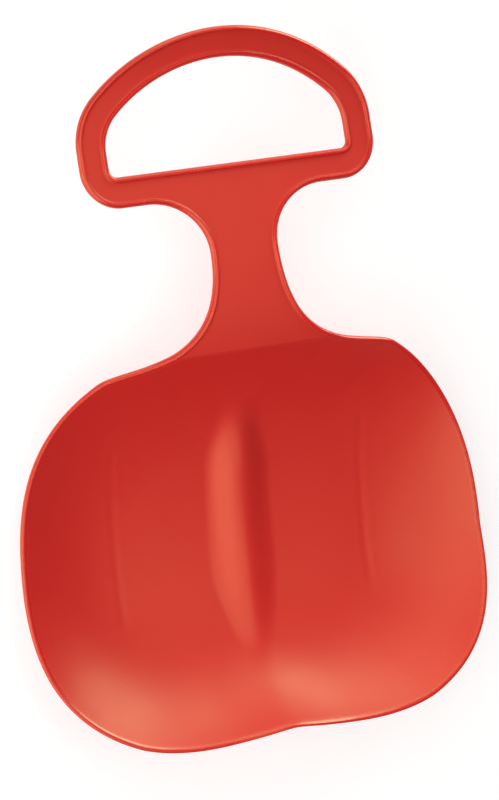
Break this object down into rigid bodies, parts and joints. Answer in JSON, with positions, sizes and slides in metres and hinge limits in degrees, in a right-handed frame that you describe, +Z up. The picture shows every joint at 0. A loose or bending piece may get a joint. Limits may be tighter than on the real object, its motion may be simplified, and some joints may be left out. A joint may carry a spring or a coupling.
{
  "type": "snow slider",
  "caption": "Moulded plastic snow slider to sit on: dished seat with a raised centre ridge, waisted neck, D-shaped grip loop and low runner ribs underneath.",
  "frame": {"origin": "middle of the bounding box in plan, on the ground under the runner soles", "axes": "+X to the rider's right, +Y forward from the seat to the grip, +Z up"},
  "size_m": [0.33, 0.4578, 0.0647],
  "materials": {
    "red_plastic": "satin moulded"
  },
  "bodies": {
    "root": {"seat_floor": "red_plastic", "front_wall": "red_plastic", "left_wall": "red_plastic", "right_wall": "red_plastic", "rear_wall": "red_plastic", "seat_rim": "red_plastic", "neck": "red_plastic", "crossbar": "red_plastic", "grip_arch": "red_plastic", "handle_rim": "red_plastic", "hole_rim": "red_plastic", "left_runner": "red_plastic", "right_runner": "red_plastic"}
  },
  "joints": []
}
